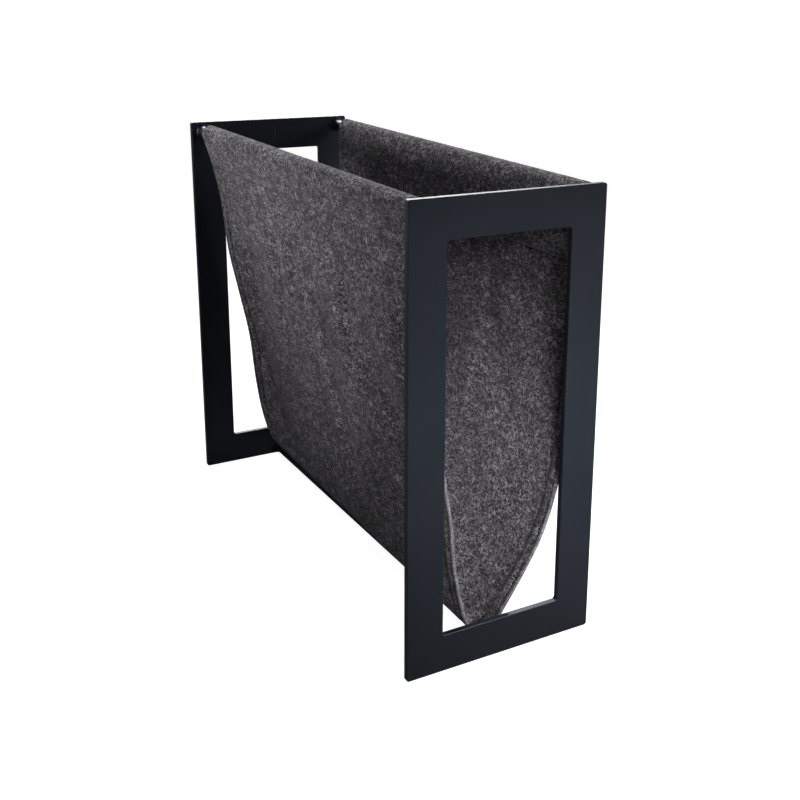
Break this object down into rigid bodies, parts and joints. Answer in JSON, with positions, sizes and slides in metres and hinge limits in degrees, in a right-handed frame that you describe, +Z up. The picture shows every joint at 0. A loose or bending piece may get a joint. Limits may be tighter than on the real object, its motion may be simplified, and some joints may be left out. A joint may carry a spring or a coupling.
{
  "type": "magazine rack",
  "caption": "Free-standing magazine rack: flat rectangular steel end frames joined by round rods, with a felt sling hung between the top rods.",
  "frame": {"origin": "on the floor, under the middle of the rack", "axes": "+Y runs along the rack from the front end frame to the rear one, +X across it to the right side seen from the front, +Z up"},
  "size_m": [0.163, 0.455, 0.36],
  "materials": {
    "powder_coat": "matte black powder coat",
    "felt": "mottled charcoal wool felt",
    "thread": "dark grey sewing thread"
  },
  "bodies": {
    "root": {"front_end_frame": "powder_coat", "rear_end_frame": "powder_coat", "left_top_rod": "powder_coat", "right_top_rod": "powder_coat", "bottom_rod": "powder_coat", "front_left_top_weld": "powder_coat", "rear_left_top_weld": "powder_coat", "front_right_top_weld": "powder_coat", "rear_right_top_weld": "powder_coat", "front_bottom_weld": "powder_coat", "rear_bottom_weld": "powder_coat", "felt_sling": "felt", "left_upper_seam_thread": "thread", "left_lower_seam_thread": "thread", "right_upper_seam_thread": "thread", "right_lower_seam_thread": "thread", "front_hem_thread": "thread", "rear_hem_thread": "thread"}
  },
  "joints": []
}
